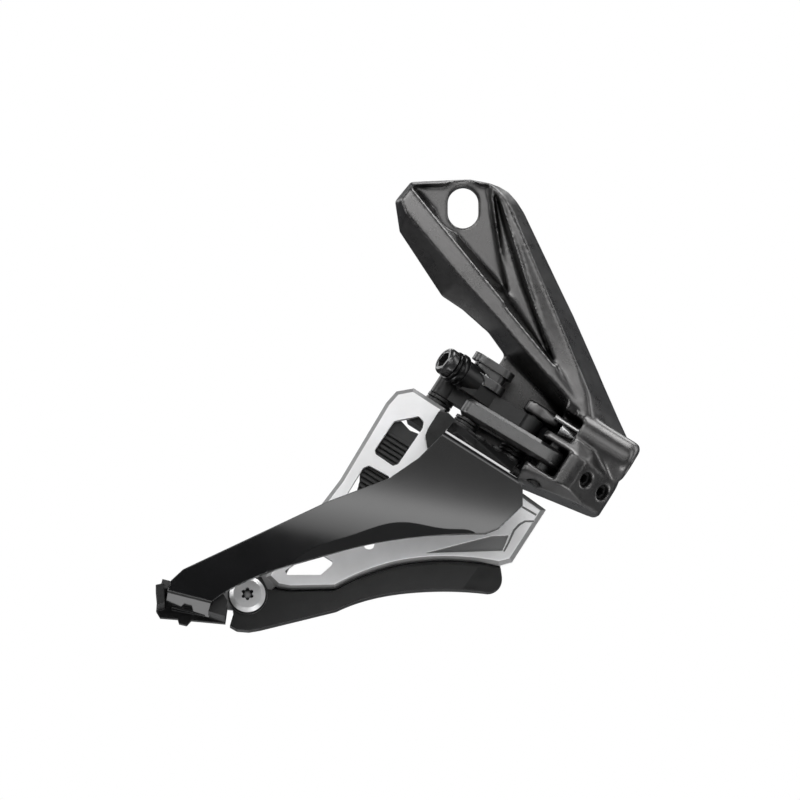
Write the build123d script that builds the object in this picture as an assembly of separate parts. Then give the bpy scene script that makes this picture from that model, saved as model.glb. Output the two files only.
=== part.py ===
from build123d import *
import math
import os

# Front derailleur, direct mount, two chainrings. Millimetres.
# +X is forward on the bicycle, +Z is up along the mounting slot, -Y is outboard (drive side).
# The origin is the centre of the mounting slot on the face that lies against the frame.
# The linkage is drawn in its own frame, u forward along the links, v along the pivot pins,
# and is then turned by LINK_TILT about Y.

LINK_TILT = 32.5
LINK_LENGTH = 20.5
LINK_REST_ANGLE = 12.5

# mounting slot and pad
SLOT_WIDTH = 6.8
SLOT_LENGTH = 9.2
PAD_THICKNESS = 3.5
SPOT_FACE_R = 6.2

# the arm's upper part: its sloping front face and the scoop
ARM_FACE_Y = -7.0
ARM_SLOPE = 0.2
ARM_EDGE_Y = -2.0
SCOOP_Y = -2.4
SCOOP_SLOPE = 0.19

# front pivots, as (u, y)
FRONT_OUTER = (47.3, -18.0)
FRONT_INNER = (39.0, -9.0)
PIN_R = 1.5
PIN_CHAMFER = 0.2
BUSH_R = 2.0
RUNNING_GAP = 0.04
OPEN_PIVOT_GAP = 0.3

# outer link
OUTER_LINK_LOW = -40.4
OUTER_LINK_HIGH = -36.2
OUTER_EYE_R = 2.8
OUTER_LINK_CHAMFER = 0.8

# the outer link's heel, which meets the limit screws
HEEL_REACH = 5.4
HEEL_WIDTH = 2.4
HEEL_INSET = 0.9

# inner link
INNER_LINK_LOW = -38.6
INNER_LINK_HIGH = -32.0
INNER_EYE_R = 3.0
INNER_FRONT_EYE_R = 2.7
INNER_BAR_WIDTH = 4.6
SHELF_T = 3.4
BOLT_BOSS_R = 3.2
BOLT_BOSS_START = -3.4
BOLT_BOSS_LENGTH = 4.4
BOLT_BORE_R = 2.0

# cable cam and clamp
CAM_LOW = -31.95
CAM_HIGH = -26.2
CAM_R = 3.0
CAM_CORE_R = 1.9
CAM_ENDS = ((23.2, -9.4), (27.4, -9.0))
CAM_GROOVE = (-29.95, -28.0)
CLAMP_DIR = (-0.89, -0.455)
CLAMP_ROOT = (20.9, -10.9)
CLAMP_V = -32.1
CLAMP_HEAD_R = 3.5
CLAMP_HEAD_START = 3.0
CLAMP_HEAD_LENGTH = 3.4
CLAMP_HEAD_CHAMFER = 0.5
CLAMP_KEY = 4.0
CLAMP_KEY_DEPTH = 2.6
CLAMP_WASHER_R = 3.75
CLAMP_WASHER_START = 1.05
CLAMP_WASHER_T = 1.9

# front block of the arm
BLOCK_LOW = -46.3
WEB_T = 2.6
WEB_LOW = -46.0
WEB_HIGH = -22.0
WEDGE = 60
POCKET_LOW = -42.0
POCKET_HIGH = -35.3
RIM_WIDTH = 1.2
RIM_DEPTH = 1.1
RIM_STAND_OFF = 0.7
BLOCK_FACE_Y = -22.5
BARREL_R = 4.8
BARREL_V = -29.6
BARREL_Y = -13.5
BARREL_FRONT = 63.3
BARREL_BACK = 48.6
BARREL_ROUND = 1.4
SHOULDER_TOP = -26.2
BLOCK_TOP = -35.2
SLOPE_TOP = -31.0
UNDERSIDE_PITCH = 10
FRONT_BEVEL_Y = -17.5
FRONT_BEVEL_ROLL = 19
NECK_LOW = -33.0
NECK_HIGH = -19.0
RECESS_LOW = -33.5
RECESS_HIGH = -27.2
RECESS_END = 49.5
CAVITY_LOW = -43.6
CAVITY_HIGH = -31.6
EAR_T = 2.8
EAR_R = 3.2
OUTER_PIN_LOW = -45.6
OUTER_PIN_HIGH = -33.6
INNER_PIN_LOW = -46.3
INNER_PIN_HIGH = -28.8
CASING_R = 2.6
CASING_DEPTH = 8.0

# cable guide tube and the screw beside it
TUBE_R = 0.72
TUBE_INNER_R = 0.5
TUBE_START = 43.2
TUBE_LENGTH = 12.0
TUBE_BORE_DEPTH = 30.0
GUIDE_SCREW_Y = -15.6
GUIDE_SCREW_V = -31.7
GUIDE_STEM_R = 0.5
GUIDE_STEM_LENGTH = 4.6
GUIDE_HEAD_START = 45.8
GUIDE_HEAD_LENGTH = 3.6
GUIDE_HEAD_R = 1.5

# limit screws; the normal is that of the slanted face they sit in
LIMIT_NORMAL = (0.742, -0.670)
LIMIT_NORMAL_TURNED = (0.670, 0.742)
LIMIT_A = (57.1, -19.5)
LIMIT_B = (61.4, -14.7)
LIMIT_V = -38.4
LIMIT_R = 1.65
LIMIT_BORE_R = 1.73
LOW_LIMIT_LENGTH = 4.15
HIGH_LIMIT_LENGTH = 6.5
LIMIT_TIP = 1.5
LIMIT_TIP_R = 1.0
LIMIT_KEY = 2.0
LIMIT_KEY_DEPTH = 1.8
LIMIT_BORE_DEPTH = 13.0
LIMIT_SINK = 1.2

# return spring and washers
SPRING_WIRE_R = 0.45
SPRING_R = 2.6
SPRING_LOW = -43.0
SPRING_TURNS = 3.5
SPRING_PITCH = 1.0
SPRING_LEG = 2.2
OUTER_WASHERS_LOW = (-41.3, -42.2)
OUTER_WASHER_R = 2.9
OUTER_WASHER_T = 0.6
INNER_WASHERS_LOW = (-39.5, -40.5, -41.5)
INNER_WASHER_R = 3.1
INNER_WASHER_T = 0.7

# cage
OUTER_PLATE_FACE = -26.0
OUTER_PLATE_T = 1.8
INNER_PLATE_FACE = -14.2
INNER_PLATE_T = 2.2
INNER_CHAMFER = 1.0
WINDOW_CORNER_R = 0.35
TONGUE_T = 1.2
BEVEL_SLOPE = 0.3
RELIEF = 0.35
LIGHTENING_X = -20.9
LIGHTENING_Z = -76.7
LIGHTENING_R = 1.2
BRACKET_LOW = -47.4
BRACKET_HIGH = -45.1
FLANGE_TOP = -43.3
CHEEK_T = 2.2
CHEEK_CORNER_R = 0.7
OUTER_BOSS_R = 3.2
OUTER_BOSS_TOP = -42.3
INNER_BOSS_R = 3.0
INNER_BOSS_TOP = -41.6
SKID_BOSS_FRONT = -14.9
SKID_BOSS_R = 4.4
SKID_BACK = 2.6
SKID_FACET_X = 1.5
SKID_FACET_Z = -84.5
SKID_FACET_ROLL = 35
SKID_FACET_SWEEP = 14
TAIL_DEPTH = 12.2
TAIL_LENGTH = 10.1
TAIL_T = 1.6
TAB_T = 1.4
TAIL_WALL_T = 2.4
TAIL_FRONT = -23.8

# cage fasteners
FLANGE_RIVETS = (32.0, 36.5, 40.5)
RIVET_Y = -18.1
RIVET_R = 0.9
RIVET_HEAD_R = 1.4
RIVET_HEAD_T = 0.5
TAIL_RIVET = (-61.4, -88.2)
SCREW_X = -47.9
SCREW_Z = -88.1
SCREW_R = 1.5
SCREW_END = -9.7
SCREW_HEAD_R = 4.0
SCREW_HEAD_T = 1.5
SCREW_HEAD_CHAMFER = 0.9
STAR_R = 1.05
STAR_LOBE_R = 0.4
STAR_DEPTH = 1.2
BRACKET_SCREW_R = 1.0
BRACKET_SCREWS = [(13.6, -44.9), (20.2, -43.9)]
BRACKET_SCREW_GRIP = 1.5
BRACKET_HEAD_R = 1.7
BRACKET_HEAD_T = 1.2
BRACKET_HEAD_SEAT = -9.8
BRACKET_KEY = 1.5
BRACKET_KEY_DEPTH = 0.7

# ribbed pad
PAD_RIB_LOW = -69.0
PAD_RIB_HIGH = -50.5
PAD_RIB_PITCH = 1.1
RIB_HEIGHT = 1.0
RIB_WIDTH = 0.6
WINDOW_GAP = 0.15
PAD_BACK = 2.0

FRONT = Vector(0, -1, 0)


def rear_pivot(front):
    """The rear pivot of a link in the rest position, from its front pivot."""
    a = math.radians(LINK_REST_ANGLE)
    return (front[0] - LINK_LENGTH * math.cos(a), front[1] + LINK_LENGTH * math.sin(a))


REAR_OUTER = rear_pivot(FRONT_OUTER)
REAR_INNER = rear_pivot(FRONT_INNER)


def tilted(shape):
    """Turn a shape from the linkage frame into the part's frame."""
    return Rot(0, LINK_TILT, 0) * shape


def side_face(points, y):
    """A flat face in the X-Z plane at depth y, through the given (x, z) points."""
    corners = [(x, y, z) for x, z in points]
    return make_face(Polyline(*corners, close=True))


def side_slab(points, y_back, y_front):
    """A slab with an X-Z outline between two depths."""
    return extrude(side_face(points, y_back), y_back - y_front, dir=FRONT)


def rounded_slab(points, y_back, y_front, r):
    """A side slab whose corners are rounded in outline."""
    slab = side_slab(points, y_back, y_front)
    return fillet(slab.edges().filter_by(Axis.Y), r)


def plan_face(points, v):
    """A flat face in the linkage's u-Y plane at height v."""
    corners = [(u, y, v) for u, y in points]
    return make_face(Polyline(*corners, close=True))


def plan_slab(points, v_low, v_high):
    """A slab with a u-Y outline between two heights."""
    return extrude(plan_face(points, v_low), v_high - v_low, dir=Vector(0, 0, 1))


def post(centre, r, v_low, v_high):
    """A cylinder along the pivot pins."""
    height = v_high - v_low
    return Pos(centre[0], centre[1], v_low + height / 2) * Cylinder(r, height)


def along(start, direction, r, length):
    """A cylinder that starts at a point and runs along a direction."""
    return Plane(origin=start, z_dir=direction) * extrude(Circle(r), length)


def hexagon(across_flats):
    """The outline of a hexagon socket."""
    return RegularPolygon(across_flats / 2, 6, major_radius=False)


def bar_between(a, b, width, v_low, v_high):
    """A straight bar from a to b in plan, with square ends."""
    dx = b[0] - a[0]
    dy = b[1] - a[1]
    length = math.hypot(dx, dy)
    turn = math.degrees(math.atan2(dy, dx))
    middle = Pos((a[0] + b[0]) / 2, (a[1] + b[1]) / 2, (v_low + v_high) / 2)
    return middle * Rot(0, 0, turn) * Box(length, width, v_high - v_low)


# ---------------------------------------------------------------- mount arm

ARM_OUTLINE = [
    (-11.6, 5.9), (1.4, 6.5), (6.0, 5.6), (8.14, 4.78), (10.1, 3.6), (11.98, 1.54), (13.5, -0.8),
    (24.6, -24.2),
    (34.8, -47.5), (37.6, -53.6), (25.5, -50.2), (9.3, -32.9), (5.6, -27.7),
    (-0.1, -22.6), (-4.7, -19.5), (-14.1, -5.1), (-15.1, 1.6),
]
ARM_RIDGE = [
    (-11.0, 4.9), (1.4, 5.6), (5.6, 5.0), (7.4, 3.85), (8.9, 2.4), (10.35, 0.1), (11.4, -2.4),
    (20.3, -24.0),
    (27.8, -42.5), (28.6, -50.0), (24.8, -46.2), (12.6, -31.9), (9.2, -27.7),
    (3.2, -20.8), (-0.5, -16.5), (-12.6, -1.6), (-13.8, 1.3),
]
PLATEAU = [(-10.6, 4.5), (5.0, 4.7), (9.2, -18.2)]
PLATEAU_RIM = [(-12.4, 5.1), (7.0, 5.1), (14.2, -28.8)]
SCOOP = [(6.9, 3.6), (7.8, 0.6), (12.9, -17.2), (18.5, -32.4), (18.2, -33.0), (9.6, -19.6)]
SCOOP_RIM = [(6.4, 4.6), (8.6, 1.0), (14.9, -19.4), (21.3, -37.2), (20.9, -37.6), (9.4, -23.6)]
# the facet beside the scoop: z, x at the scoop, x at the ridge, depth below the face at the scoop
FACET = [
    (1.5, 8.2, 9.5, 0.2), (-10.2, 12.2, 14.6, 0.8), (-19.4, 14.9, 18.4, 1.1),
    (-27.8, 17.6, 21.8, 1.3), (-37.5, 21.1, 25.8, 1.1), (-45.0, 25.0, 28.0, 0.3),
]
FACET_LIFT = 0.5


def arm_face(points, lift):
    """A face in the arm's sloping front plane, lifted towards the rider's side."""
    corners = [(x, ARM_FACE_Y + ARM_SLOPE * z - lift, z) for x, z in points]
    return make_face(Polyline(*corners, close=True))


def scoop_face(points):
    """The sloping floor of the scoop beside the mounting pad."""
    corners = [(x, SCOOP_Y + SCOOP_SLOPE * z, z) for x, z in points]
    return make_face(Polyline(*corners, close=True))


def facet_cut():
    """The wedge that tilts the rim's inner side down towards the scoop."""
    sections = []
    for z, inner, outer, depth in FACET:
        y = ARM_FACE_Y + ARM_SLOPE * z
        above = [(inner, y - FACET_LIFT, z), (outer, y - FACET_LIFT, z)]
        sections.append(make_face(Polyline(*above, (outer, y, z), (inner, y + depth, z), close=True)))
    return loft(sections, ruled=True)


def arm_plate():
    """The upper part of the forging: pad, bevelled rims and scooped middle."""
    base = side_slab(ARM_OUTLINE, 0, ARM_EDGE_Y)
    crown = loft([side_face(ARM_OUTLINE, ARM_EDGE_Y), arm_face(ARM_RIDGE, 0)], ruled=True)
    plate = base + crown
    plateau = loft([side_face(PLATEAU, -PAD_THICKNESS), arm_face(PLATEAU_RIM, 0.5)], ruled=True)
    scoop = loft([scoop_face(SCOOP), arm_face(SCOOP_RIM, 0.5)], ruled=True)
    spot = Plane(origin=(0, -PAD_THICKNESS, 0), z_dir=FRONT) * extrude(Circle(SPOT_FACE_R), 20)
    return plate - plateau - scoop - facet_cut() - spot


def slot_cut():
    """The mounting slot, right through the pad."""
    outline = SlotOverall(SLOT_LENGTH, SLOT_WIDTH)
    return Plane(origin=(0, 5, 0), z_dir=FRONT) * extrude(outline, 30)


# plan outlines of the front block, as (u, y)
BLOCK_PLAN = [
    (43.6, -21.9), (44.5, BLOCK_FACE_Y), (53.0, BLOCK_FACE_Y), (55.0, -21.8), (62.8, -13.2),
    (62.9, -8.0), (61.8, -2.0), (60.4, -1.0), (43.6, -1.0),
]
SLOPE_PLAN = [
    (43.6, -15.5), (44.5, -16.8), (50.0, -17.4), (55.0, -17.0), (61.8, -13.0), (62.0, -8.0),
    (61.6, -2.0), (60.2, -1.0), (43.6, -1.0),
]
WEB_PLAN = [(25.5, 0), (25.5, -WEB_T), (44, -WEB_T), (44, 0)]
SHOULDER_PLAN = [(47, -16.5), (55, -16.5), (61.5, -12), (61.5, -1), (47, -1)]
NECK_FOOT = [(44.5, -17.0), (55.0, -16.8), (60.0, -14.0), (60.0, -8.0), (44.5, -8.0)]
NECK_TOP = [(43.4, -14.0), (46.6, -9.6), (50.4, -3.4), (50.4, -2.4), (43.4, -2.4)]
EAR_PLAN = [(36.2, -11.6), (45, -12.5), (45, -4), (36.6, -2)]
CAVITY_PLAN = [(30, -14), (43.4, -14), (43.4, -3.2), (30, -3.2)]
POCKET = [
    (40, -26), (50.6, -26), (50.6, -17.6), (52.2, -16.8), (52.2, -13.2), (50.2, -11.3),
    (44.4, -11.3), (40, -13.0),
]
RECESS_PLAN = [(40, -26), (RECESS_END, -26), (RECESS_END, -8), (40, -8)]


def block_underside():
    """The volume below the block: its sloping underside and the bevel along its front."""
    pitch = Rot(0, -UNDERSIDE_PITCH, 0)
    half_space = Pos(0, 0, -WEDGE / 2) * Box(2 * WEDGE, WEDGE, WEDGE)
    under = Pos(43, -WEDGE / 4, BLOCK_LOW) * pitch * half_space
    turn = Rot(-FRONT_BEVEL_ROLL, 0, 0)
    front = Pos(43, FRONT_BEVEL_Y, BLOCK_LOW) * pitch * turn * Pos(0, -WEDGE / 2, 0) * half_space
    return under + front


def arm_block():
    """The front block in the linkage frame: web, neck, shoulder and cable barrel."""
    block = plan_slab(BLOCK_PLAN, BLOCK_LOW - 1, BLOCK_TOP)
    top = plan_face(SLOPE_PLAN, SLOPE_TOP)
    slope = loft([plan_face(BLOCK_PLAN, BLOCK_TOP), top], ruled=True)
    core = plan_slab(SLOPE_PLAN, SLOPE_TOP, BARREL_V)
    web = plan_slab(WEB_PLAN, WEB_LOW, WEB_HIGH)
    barrel_length = BARREL_FRONT - BARREL_BACK
    barrel = along((BARREL_BACK, BARREL_Y, BARREL_V), (1, 0, 0), BARREL_R, barrel_length)
    barrel = fillet(barrel.edges().sort_by(Axis.X)[-1], BARREL_ROUND)
    shoulder = plan_slab(SHOULDER_PLAN, BARREL_V, SHOULDER_TOP)
    neck = loft([plan_face(NECK_FOOT, NECK_LOW), plan_face(NECK_TOP, NECK_HIGH)], ruled=True)
    recess = plan_slab(RECESS_PLAN, RECESS_LOW, RECESS_HIGH)
    solid = block + slope + core + web + barrel + shoulder + neck
    return solid - block_underside() - recess


def inner_ears():
    """The two ears that hold the inner link's front pin."""
    upper, lower = [
        post(FRONT_INNER, EAR_R, low, low + EAR_T) + plan_slab(EAR_PLAN, low, low + EAR_T)
        for low in (CAVITY_HIGH, CAVITY_LOW - EAR_T)
    ]
    return upper + lower


def pocket_rim():
    """The bevel around the mouth of the outer link's pocket."""
    start = POCKET[0][0]
    end = POCKET[1][0]
    sections = []
    for grow, y in ((RIM_WIDTH, BLOCK_FACE_Y - RIM_STAND_OFF), (0, BLOCK_FACE_Y + RIM_DEPTH)):
        low = POCKET_LOW - grow
        high = POCKET_HIGH + grow
        outline = [(start, low), (end + grow, low), (end + grow, high), (start, high)]
        sections.append(side_face(outline, y))
    return loft(sections, ruled=True)


def mount_arm():
    """The whole forging with its bores, pockets and threads."""
    block = arm_block() + inner_ears()
    block = block - plan_slab(POCKET, POCKET_LOW, POCKET_HIGH)
    block = block - pocket_rim()
    block = block - plan_slab(CAVITY_PLAN, CAVITY_LOW, CAVITY_HIGH)
    block = block - post(FRONT_OUTER, PIN_R, OUTER_PIN_LOW, OUTER_PIN_HIGH)
    block = block - post(FRONT_INNER, PIN_R, INNER_PIN_LOW, INNER_PIN_HIGH)
    mouth = (BARREL_FRONT + 1, BARREL_Y, BARREL_V)
    block = block - along(mouth, (-1, 0, 0), CASING_R, CASING_DEPTH + 1)
    block = block - along(mouth, (-1, 0, 0), TUBE_R, TUBE_BORE_DEPTH)
    block = block - guide_screw_stem(GUIDE_STEM_R)
    for at in (LIMIT_A, LIMIT_B):
        block = block - limit_cylinder(at, LIMIT_BORE_R, -1, LIMIT_BORE_DEPTH + 1)
    whole = arm_plate() + tilted(block)
    return whole - slot_cut()


# ---------------------------------------------------------------- limit screws


def limit_cylinder(at, r, start, length):
    """A cylinder along a limit screw, measured inwards from the block's slanted face."""
    x = at[0] - LIMIT_NORMAL[0] * start
    y = at[1] - LIMIT_NORMAL[1] * start
    return along((x, y, LIMIT_V), (-LIMIT_NORMAL[0], -LIMIT_NORMAL[1], 0), r, length)


def limit_screw(at, length):
    """A limit screw with a hexagon socket and a turned-down tip."""
    body = limit_cylinder(at, LIMIT_R, LIMIT_SINK, length)
    tip = limit_cylinder(at, LIMIT_TIP_R, LIMIT_SINK + length, LIMIT_TIP)
    x = at[0] - LIMIT_NORMAL[0] * LIMIT_SINK
    y = at[1] - LIMIT_NORMAL[1] * LIMIT_SINK
    mouth = Plane(origin=(x, y, LIMIT_V), z_dir=(-LIMIT_NORMAL[0], -LIMIT_NORMAL[1], 0))
    socket = mouth * extrude(hexagon(LIMIT_KEY), LIMIT_KEY_DEPTH)
    return tilted(body + tip - socket)


# ---------------------------------------------------------------- links

def outer_link():
    """The outer link: a chamfered bar with an eye at each end."""
    a = REAR_OUTER
    b = FRONT_OUTER
    low = OUTER_LINK_LOW
    high = OUTER_LINK_HIGH
    link = bar_between(a, b, 2 * OUTER_EYE_R, low, high)
    link = link + post(a, OUTER_EYE_R, low, high) + post(b, OUTER_EYE_R, low, high)
    link = chamfer(link.edges().group_by(Axis.Z)[-1], OUTER_LINK_CHAMFER)
    link = chamfer(link.edges().group_by(Axis.Z)[0], OUTER_LINK_CHAMFER)
    heel_u = b[0] + HEEL_REACH * LIMIT_NORMAL_TURNED[0]
    heel_y = b[1] + HEEL_REACH * LIMIT_NORMAL_TURNED[1]
    link = link + bar_between(b, (heel_u, heel_y), HEEL_WIDTH, low + HEEL_INSET, high - HEEL_INSET)
    for at in (a, b):
        link = link - post(at, BUSH_R, low - 1, high + 1)
    return tilted(link)


def bush(at, low, high, gap):
    """A plain bush for one link eye."""
    return post(at, BUSH_R, low, high) - post(at, PIN_R + gap, low - 1, high + 1)


def outer_link_bushes():
    """The two bushes of the outer link."""
    rear = bush(REAR_OUTER, OUTER_LINK_LOW, OUTER_LINK_HIGH, RUNNING_GAP)
    front = bush(FRONT_OUTER, OUTER_LINK_LOW, OUTER_LINK_HIGH, RUNNING_GAP)
    return tilted(Compound([rear, front]))


def clamp_axis_point(distance):
    """A point on the cable bolt's axis, measured from the lever outwards."""
    x = CLAMP_ROOT[0] + CLAMP_DIR[0] * distance
    y = CLAMP_ROOT[1] + CLAMP_DIR[1] * distance
    return (x, y, CLAMP_V)


def clamp_cylinder(start, r, length):
    """A cylinder on the cable bolt's axis."""
    return along(clamp_axis_point(start), (CLAMP_DIR[0], CLAMP_DIR[1], 0), r, length)


SHELF_PLAN = [(22.2, -4), (20.6, -8.6), (22.0, -12.2), (25.0, -12.0), (30.4, -8.5), (29, -5.5)]


def inner_link():
    """The inner link with the boss that carries the cable bolt."""
    a = REAR_INNER
    b = FRONT_INNER
    low = INNER_LINK_LOW
    high = INNER_LINK_HIGH
    link = bar_between(a, b, INNER_BAR_WIDTH, low, high)
    link = link + post(a, INNER_EYE_R, low, high) + post(b, INNER_FRONT_EYE_R, low, high)
    boss = clamp_cylinder(BOLT_BOSS_START, BOLT_BOSS_R, BOLT_BOSS_LENGTH)
    shelf = plan_slab(SHELF_PLAN, high - SHELF_T, high)
    link = link + boss + shelf
    for at in (a, b):
        link = link - post(at, BUSH_R, low - 6, high + 6)
    link = link - clamp_cylinder(BOLT_BOSS_START - 1, BOLT_BORE_R, BOLT_BOSS_LENGTH + 4)
    return tilted(link)


def inner_link_bushes():
    """The two bushes of the inner link."""
    rear = bush(REAR_INNER, INNER_LINK_LOW, INNER_LINK_HIGH, OPEN_PIVOT_GAP)
    front = bush(FRONT_INNER, INNER_LINK_LOW, INNER_LINK_HIGH, RUNNING_GAP)
    return tilted(Compound([rear, front]))


def cable_cam():
    """The grooved cable guide on top of the inner link."""
    groove = plan_slab([(0, -30), (60, -30), (60, 10), (0, 10)], *CAM_GROOVE)
    cam = bar_between(*CAM_ENDS, 2 * CAM_R, CAM_LOW, CAM_HIGH)
    core = bar_between(*CAM_ENDS, 2 * CAM_CORE_R, CAM_LOW, CAM_HIGH)
    for at in CAM_ENDS:
        cam = cam + post(at, CAM_R, CAM_LOW, CAM_HIGH)
        core = core + post(at, CAM_CORE_R, CAM_LOW, CAM_HIGH)
    cam = cam - (groove - core)
    boss_room = clamp_cylinder(BOLT_BOSS_START - 1.6, BOLT_BOSS_R + 0.1, BOLT_BOSS_LENGTH + 1.6)
    washer_room = clamp_cylinder(CLAMP_WASHER_START - 0.15, CLAMP_WASHER_R + 0.15, 8)
    return tilted(cam - boss_room - washer_room)


def cable_clamp_bolt():
    """The bolt that clamps the cable, with a hexagon socket."""
    head_end = CLAMP_HEAD_START + CLAMP_HEAD_LENGTH
    shank_start = BOLT_BOSS_START - 0.2
    shank_length = CLAMP_HEAD_START + 1 - shank_start
    shank = clamp_cylinder(shank_start, BOLT_BORE_R - RUNNING_GAP, shank_length)
    head = clamp_cylinder(CLAMP_HEAD_START, CLAMP_HEAD_R, CLAMP_HEAD_LENGTH)
    bolt = shank + head
    rim = bolt.faces().filter_by(GeomType.PLANE).sort_by(Axis.X)[0].edges()
    bolt = chamfer(rim, CLAMP_HEAD_CHAMFER)
    mouth = Plane(origin=clamp_axis_point(head_end), z_dir=(-CLAMP_DIR[0], -CLAMP_DIR[1], 0))
    return tilted(bolt - mouth * extrude(hexagon(CLAMP_KEY), CLAMP_KEY_DEPTH))


def cable_clamp_washer():
    """The thick washer that presses the cable against the boss."""
    ring = clamp_cylinder(CLAMP_WASHER_START, CLAMP_WASHER_R, CLAMP_WASHER_T)
    bore_start = CLAMP_WASHER_START - 0.5
    return tilted(ring - clamp_cylinder(bore_start, BOLT_BORE_R + RUNNING_GAP, CLAMP_WASHER_T + 1))


# ---------------------------------------------------------------- pins and spring

def plain_pin(at, low, high, r):
    """A plain pin with chamfered ends."""
    pin = post(at, r, low, high)
    return chamfer(pin.edges().filter_by(GeomType.CIRCLE), PIN_CHAMFER)


def front_outer_pin():
    """The outer link's front pin, pressed into the block."""
    return tilted(plain_pin(FRONT_OUTER, OUTER_PIN_LOW, OUTER_PIN_HIGH, PIN_R))


def front_inner_pin():
    """The inner link's front pin, pressed into the block."""
    return tilted(plain_pin(FRONT_INNER, INNER_PIN_LOW, INNER_PIN_HIGH, PIN_R))


def rear_outer_pin():
    """The outer link's rear pin, pressed into the cage bracket."""
    return tilted(plain_pin(REAR_OUTER, BRACKET_LOW, OUTER_LINK_HIGH - 0.1, PIN_R))


def rear_inner_pin():
    """The inner link's rear pin, pressed into the cage bracket."""
    return tilted(plain_pin(REAR_INNER, BRACKET_LOW, INNER_LINK_HIGH + 0.2, PIN_R))


def pivot_washers():
    """Thin washers between the bracket and the two links."""
    stack = []
    for low in OUTER_WASHERS_LOW:
        ring = post(REAR_OUTER, OUTER_WASHER_R, low, low + OUTER_WASHER_T)
        stack.append(ring - post(REAR_OUTER, PIN_R, low - 1, low + 2))
    for low in INNER_WASHERS_LOW:
        ring = post(REAR_INNER, INNER_WASHER_R, low, low + INNER_WASHER_T)
        stack.append(ring - post(REAR_INNER, PIN_R, low - 1, low + 2))
    return tilted(Compound(stack))


def return_spring():
    """The torsion spring around the inner link's front pin, with two legs."""
    path = Helix(SPRING_PITCH, SPRING_PITCH * SPRING_TURNS, SPRING_R)
    start = path @ 0
    profile = Plane(origin=start, z_dir=path % 0) * Circle(SPRING_WIRE_R)
    coil = sweep(profile, path=path)
    leg_low = along(tuple(start), tuple(path % 0 * -1), SPRING_WIRE_R, SPRING_LEG)
    leg_high = along(tuple(path @ 1), tuple(path % 1), SPRING_WIRE_R, SPRING_LEG)
    spring = coil + leg_low + leg_high
    return tilted(Pos(FRONT_INNER[0], FRONT_INNER[1], SPRING_LOW) * spring)


def cable_guide_tube():
    """The thin steel tube that leads the cable out of the barrel."""
    start = (TUBE_START, BARREL_Y, BARREL_V)
    tube = along(start, (1, 0, 0), TUBE_R, TUBE_LENGTH)
    return tilted(tube - along(start, (1, 0, 0), TUBE_INNER_R, TUBE_LENGTH))


def guide_screw_stem(r):
    """The threaded stem of the guide screw."""
    start = (RECESS_END - 0.6, GUIDE_SCREW_Y, GUIDE_SCREW_V)
    return along(start, (1, 0, 0), r, GUIDE_STEM_LENGTH)


def guide_screw():
    """The cone-headed screw beside the cable guide tube."""
    head = Plane(origin=(GUIDE_HEAD_START, GUIDE_SCREW_Y, GUIDE_SCREW_V), z_dir=(1, 0, 0))
    cone = Pos(0, 0, GUIDE_HEAD_LENGTH / 2) * Cone(GUIDE_HEAD_R, GUIDE_STEM_R, GUIDE_HEAD_LENGTH)
    return tilted(head * cone + guide_screw_stem(GUIDE_STEM_R))


# ---------------------------------------------------------------- cage

OUTER_TOP = [
    (-3.9, -52.9), (12.0, -63.2), (13.3, -65.6), (13.3, -69.5), (8.0, -74.6), (5.0, -75.8),
]
OUTER_LOWER = [
    (5.0, -75.8), (-5.0, -76.1), (-14.4, -77.0), (-22.1, -78.4), (-31.2, -80.8), (-40.1, -83.4),
    (-47.3, -86.0), (-55.8, -91.0),
]
OUTER_TAIL = [(-55.8, -91.0), (-65.6, -88.5), (-64.9, -86.3), (-62.2, -83.8)]
OUTER_UPPER = [
    (-62.2, -83.8), (-41.4, -74.0), (-30.1, -68.6), (-16.4, -63.4), (-9.9, -58.9), (-3.9, -52.9),
]
TAIL_TAB = [(-64.8, -91.6), (-64.4, -87.2), (-59.0, -86.4), (-57.4, -93.0)]
# the lower bevel of the outer plate: x, z of its crease, z of the edge below it
BEVEL = [
    (2.6, -75.6, -75.9), (-3.0, -74.8, -76.1), (-9.7, -73.7, -76.5), (-14.5, -73.3, -77.1),
    (-20.0, -74.5, -78.0), (-28.0, -77.2, -80.0), (-36.0, -80.7, -82.2), (-43.5, -84.0, -84.6),
]


def side_rod(x, z, r, y_back, y_front):
    """A cylinder across the cage between two depths."""
    return Plane(origin=(x, y_back, z), z_dir=FRONT) * extrude(Circle(r), y_back - y_front)


def world_xz(at):
    """The part's x and z of a point given as (u, v) in the linkage frame."""
    a = math.radians(LINK_TILT)
    u, v = at
    return (u * math.cos(a) + v * math.sin(a), v * math.cos(a) - u * math.sin(a))


def tail_frame():
    """The frame of the sloping tail flange, at the middle of its thickness."""
    return Pos(-60.9, -19.9, -90.3) * Rot(0, 14.3, 0) * Rot(-8, 0, 0)


# the bent top flange's cross-section in the linkage frame, as (y, v)
FLANGE_START = 25.1
FLANGE_LENGTH = 17.0
FLANGE_SECTION = [
    (OUTER_PLATE_FACE, -46.8), (-19.5, FLANGE_TOP), (-17.0, FLANGE_TOP), (-17.0, BRACKET_HIGH),
    (-19.0, BRACKET_HIGH), (OUTER_PLATE_FACE + OUTER_PLATE_T, -48.0),
    (OUTER_PLATE_FACE + OUTER_PLATE_T, -49.5), (OUTER_PLATE_FACE, -49.0),
]
BEND_ARC = [(OUTER_PLATE_FACE, -47.9), (-25.72, -47.03), (-25.0, -46.26)]
BEND_CORNER = [(-25.5, -45.5), (-27.0, -46.3), (-27.0, -47.9)]


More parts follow.
